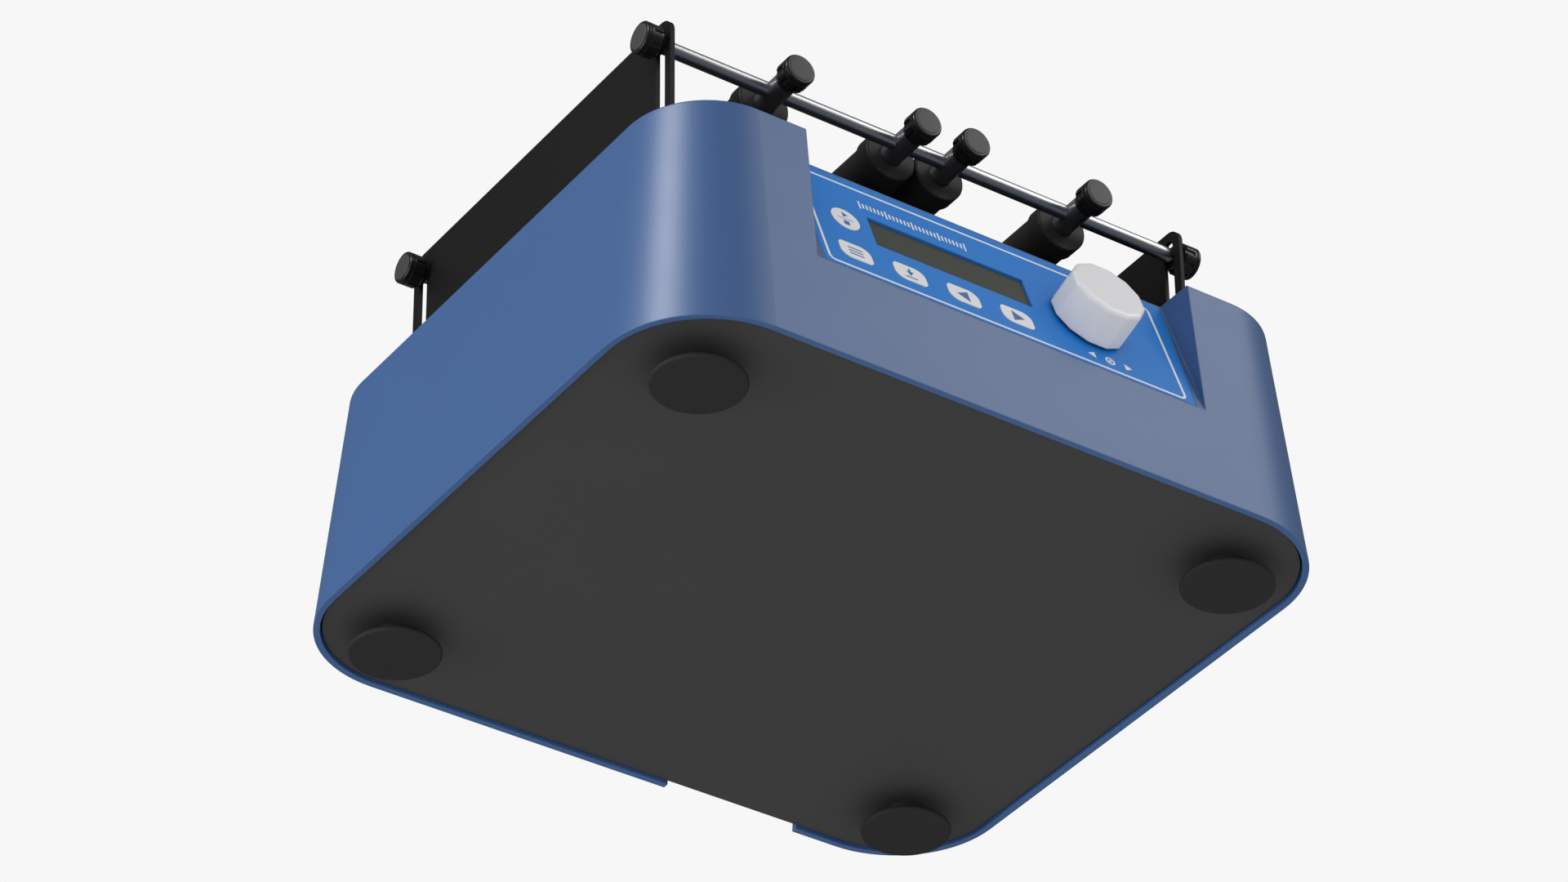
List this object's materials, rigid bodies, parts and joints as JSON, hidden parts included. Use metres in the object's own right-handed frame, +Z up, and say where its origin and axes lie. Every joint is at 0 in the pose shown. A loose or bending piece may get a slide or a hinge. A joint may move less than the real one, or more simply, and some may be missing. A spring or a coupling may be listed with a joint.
{
  "type": "orbital shaker",
  "caption": "Bench orbital shaker: rounded leaning housing with a sloped control panel and dial, orbiting carrier tray and a rack of rubber rollers that clamp flasks.",
  "frame": {"origin": "centre of the bounding box, on the bench under the feet", "axes": "+Z up, +X to the right as seen from the control panel, -Y towards the user"},
  "size_m": [0.36, 0.3375, 0.2135],
  "materials": {
    "housing_paint": "satin moulded and painted shell",
    "base_grey": "matt powder coat",
    "foot_rubber": "matt",
    "panel_film": "satin printed film",
    "key_film": "satin",
    "display_glass": "dark olive tint",
    "board_green": "solder mask",
    "steel": "turned",
    "chrome": "polished",
    "dial_white": "soft gloss",
    "black_plastic": "gloss",
    "black_sheet": "satin powder coat",
    "roller_rubber": "satin",
    "aluminium": "milled",
    "belt_rubber": "matt"
  },
  "bodies": {
    "base": {"housing_shell": "housing_paint", "base_plate": "base_grey", "foot_front_left": "foot_rubber", "foot_front_right": "foot_rubber", "foot_rear_left": "foot_rubber", "foot_rear_right": "foot_rubber", "foot_studs": "steel", "control_panel": "panel_film", "display_window": "display_glass", "control_board": "board_green", "rear_panel": "black_sheet", "mains_inlet": "black_plastic", "switch_frame": "black_plastic", "chassis_deck": "aluminium", "shaft_bearings": "steel", "motor_can": "black_sheet", "drive_belt": "belt_rubber"},
    "drive": {"eccentric_shaft": "steel", "drive_pulley": "aluminium"},
    "motor_rotor": {"motor_pulley": "aluminium"},
    "platform": {"platform_plate": "aluminium", "platform_bearings": "steel", "carrier_tray": "black_sheet", "tray_screws": "steel", "grip_mat": "foot_rubber"},
    "rack_front": {"front_rod": "chrome"},
    "rack_rear": {"rear_rod": "chrome"},
    "encoder_push": {"encoder_plunger": "steel"},
    "dial": {"encoder_shaft": "steel", "dial_knob": "dial_white"},
    "rocker": {"power_rocker": "black_plastic"},
    "idler_1": {"idler_crank_1": "steel"},
    "roller_1": {"roller_bar_1": "chrome", "roller_sleeve_1": "roller_rubber"},
    "clamp_knob_front_1": {"clamp_knob_front_1": "black_plastic"},
    "clamp_knob_rear_1": {"clamp_knob_rear_1": "black_plastic"},
    "idler_2": {"idler_crank_2": "steel"},
    "roller_2": {"roller_bar_2": "chrome", "roller_sleeve_2": "roller_rubber"},
    "clamp_knob_front_2": {"clamp_knob_front_2": "black_plastic"},
    "clamp_knob_rear_2": {"clamp_knob_rear_2": "black_plastic"},
    "idler_3": {"idler_crank_3": "steel"},
    "roller_3": {"roller_bar_3": "chrome", "roller_sleeve_3": "roller_rubber"},
    "clamp_knob_front_3": {"clamp_knob_front_3": "black_plastic"},
    "clamp_knob_rear_3": {"clamp_knob_rear_3": "black_plastic"},
    "idler_4": {"idler_crank_4": "steel"},
    "roller_4": {"roller_bar_4": "chrome", "roller_sleeve_4": "roller_rubber"},
    "clamp_knob_front_4": {"clamp_knob_front_4": "black_plastic"},
    "clamp_knob_rear_4": {"clamp_knob_rear_4": "black_plastic"},
    "end_knob_front_left": {"end_knob_front_left": "black_plastic"},
    "end_knob_front_right": {"end_knob_front_right": "black_plastic"},
    "end_knob_rear_left": {"end_knob_rear_left": "black_plastic"},
    "end_knob_rear_right": {"end_knob_rear_right": "black_plastic"},
    "key_run": {"key_run": "key_film"},
    "key_menu": {"key_menu": "key_film"},
    "key_store": {"key_store": "key_film"},
    "key_left": {"key_left": "key_film"},
    "key_right": {"key_right": "key_film"}
  },
  "joints": [
    {"name": "drive_spin", "type": "hinge", "parent": "base", "child": "drive", "pos_m": [0, 0.00375, 0.1], "axis": [0, 0, 1], "continuous": true},
    {"name": "motor_spin", "type": "hinge", "parent": "base", "child": "motor_rotor", "pos_m": [-0.078, 0.00375, 0.06], "axis": [0, 0, 1], "continuous": true},
    {"name": "platform_orbit", "type": "hinge", "parent": "drive", "child": "platform", "pos_m": [0, 0.00875, 0.14], "axis": [0, 0, 1], "continuous": true},
    {"name": "idler_spin_1", "type": "hinge", "parent": "base", "child": "idler_1", "pos_m": [-0.085, -0.06125, 0.11], "axis": [0, 0, 1], "continuous": true},
    {"name": "idler_spin_2", "type": "hinge", "parent": "base", "child": "idler_2", "pos_m": [0.085, -0.06125, 0.11], "axis": [0, 0, 1], "continuous": true},
    {"name": "idler_spin_3", "type": "hinge", "parent": "base", "child": "idler_3", "pos_m": [-0.085, 0.06875, 0.11], "axis": [0, 0, 1], "continuous": true},
    {"name": "idler_spin_4", "type": "hinge", "parent": "base", "child": "idler_4", "pos_m": [0.085, 0.06875, 0.11], "axis": [0, 0, 1], "continuous": true},
    {"name": "rack_height", "type": "slide", "parent": "platform", "child": "rack_front", "axis": [0, 0, 1], "range_m": [-0.038, 0.004]},
    {"name": "rack_height_rear", "type": "slide", "parent": "platform", "child": "rack_rear", "axis": [0, 0, 1], "range_m": [-0.038, 0.004]},
    {"name": "roller_slide_1", "type": "slide", "parent": "rack_front", "child": "roller_1", "axis": [1, 0, 0], "range_m": [-0.042, 0.021]},
    {"name": "clamp_turn_front_1", "type": "hinge", "parent": "roller_1", "child": "clamp_knob_front_1", "pos_m": [-0.0802, -0.10725, 0.2003], "axis": [0, -1, 0], "range_deg": [0, 270]},
    {"name": "clamp_turn_rear_1", "type": "hinge", "parent": "roller_1", "child": "clamp_knob_rear_1", "pos_m": [-0.0802, 0.12475, 0.2003], "axis": [0, 1, 0], "range_deg": [0, 270]},
    {"name": "roller_slide_2", "type": "slide", "parent": "rack_front", "child": "roller_2", "axis": [1, 0, 0], "range_m": [-0.021, 0]},
    {"name": "clamp_turn_front_2", "type": "hinge", "parent": "roller_2", "child": "clamp_knob_front_2", "pos_m": [-0.0114, -0.10725, 0.2003], "axis": [0, -1, 0], "range_deg": [0, 270]},
    {"name": "clamp_turn_rear_2", "type": "hinge", "parent": "roller_2", "child": "clamp_knob_rear_2", "pos_m": [-0.0114, 0.12475, 0.2003], "axis": [0, 1, 0], "range_deg": [0, 270]},
    {"name": "roller_slide_3", "type": "slide", "parent": "rack_front", "child": "roller_3", "axis": [1, 0, 0], "range_m": [0, 0.021]},
    {"name": "clamp_turn_front_3", "type": "hinge", "parent": "roller_3", "child": "clamp_knob_front_3", "pos_m": [0.0155, -0.10725, 0.2003], "axis": [0, -1, 0], "range_deg": [0, 270]},
    {"name": "clamp_turn_rear_3", "type": "hinge", "parent": "roller_3", "child": "clamp_knob_rear_3", "pos_m": [0.0155, 0.12475, 0.2003], "axis": [0, 1, 0], "range_deg": [0, 270]},
    {"name": "roller_slide_4", "type": "slide", "parent": "rack_front", "child": "roller_4", "axis": [1, 0, 0], "range_m": [-0.021, 0.039]},
    {"name": "clamp_turn_front_4", "type": "hinge", "parent": "roller_4", "child": "clamp_knob_front_4", "pos_m": [0.0842, -0.10725, 0.2003], "axis": [0, -1, 0], "range_deg": [0, 270]},
    {"name": "clamp_turn_rear_4", "type": "hinge", "parent": "roller_4", "child": "clamp_knob_rear_4", "pos_m": [0.0842, 0.12475, 0.2003], "axis": [0, 1, 0], "range_deg": [0, 270]},
    {"name": "end_turn_front_left", "type": "hinge", "parent": "rack_front", "child": "end_knob_front_left", "pos_m": [-0.147, -0.09225, 0.2003], "axis": [-1, 0, 0], "range_deg": [0, 270]},
    {"name": "end_turn_front_right", "type": "hinge", "parent": "rack_front", "child": "end_knob_front_right", "pos_m": [0.147, -0.09225, 0.2003], "axis": [1, 0, 0], "range_deg": [0, 270]},
    {"name": "end_turn_rear_left", "type": "hinge", "parent": "rack_rear", "child": "end_knob_rear_left", "pos_m": [-0.147, 0.10975, 0.2003], "axis": [-1, 0, 0], "range_deg": [0, 270]},
    {"name": "end_turn_rear_right", "type": "hinge", "parent": "rack_rear", "child": "end_knob_rear_right", "pos_m": [0.147, 0.10975, 0.2003], "axis": [1, 0, 0], "range_deg": [0, 270]},
    {"name": "press_run", "type": "slide", "parent": "base", "child": "key_run", "axis": [0, 0.9359, -0.3522], "range_m": [0, 0.0005], "stiffness_N_per_m": 1500},
    {"name": "press_menu", "type": "slide", "parent": "base", "child": "key_menu", "axis": [0, 0.9359, -0.3522], "range_m": [0, 0.0005], "stiffness_N_per_m": 1500},
    {"name": "press_store", "type": "slide", "parent": "base", "child": "key_store", "axis": [0, 0.9359, -0.3522], "range_m": [0, 0.0005], "stiffness_N_per_m": 1500},
    {"name": "press_left", "type": "slide", "parent": "base", "child": "key_left", "axis": [0, 0.9359, -0.3522], "range_m": [0, 0.0005], "stiffness_N_per_m": 1500},
    {"name": "press_right", "type": "slide", "parent": "base", "child": "key_right", "axis": [0, 0.9359, -0.3522], "range_m": [0, 0.0005], "stiffness_N_per_m": 1500},
    {"name": "dial_press", "type": "slide", "parent": "base", "child": "encoder_push", "axis": [0, 0.9359, -0.3522], "range_m": [0, 0.001], "stiffness_N_per_m": 3000},
    {"name": "dial_turn", "type": "hinge", "parent": "encoder_push", "child": "dial", "pos_m": [0.048, -0.15334, 0.09628], "axis": [0, -0.9359, 0.3522], "continuous": true},
    {"name": "rocker_throw", "type": "hinge", "parent": "base", "child": "rocker", "pos_m": [0.088, 0.15475, 0.0345], "axis": [1, 0, 0], "range_deg": [-16, 0]}
  ],
  "couplings": [
    {"joint": "motor_spin", "follows": "drive_spin", "ratio": 4},
    {"joint": "platform_orbit", "follows": "drive_spin", "ratio": -1},
    {"joint": "idler_spin_1", "follows": "drive_spin", "ratio": 1},
    {"joint": "idler_spin_2", "follows": "drive_spin", "ratio": 1},
    {"joint": "idler_spin_3", "follows": "drive_spin", "ratio": 1},
    {"joint": "idler_spin_4", "follows": "drive_spin", "ratio": 1},
    {"joint": "rack_height_rear", "follows": "rack_height", "ratio": 1}
  ]
}
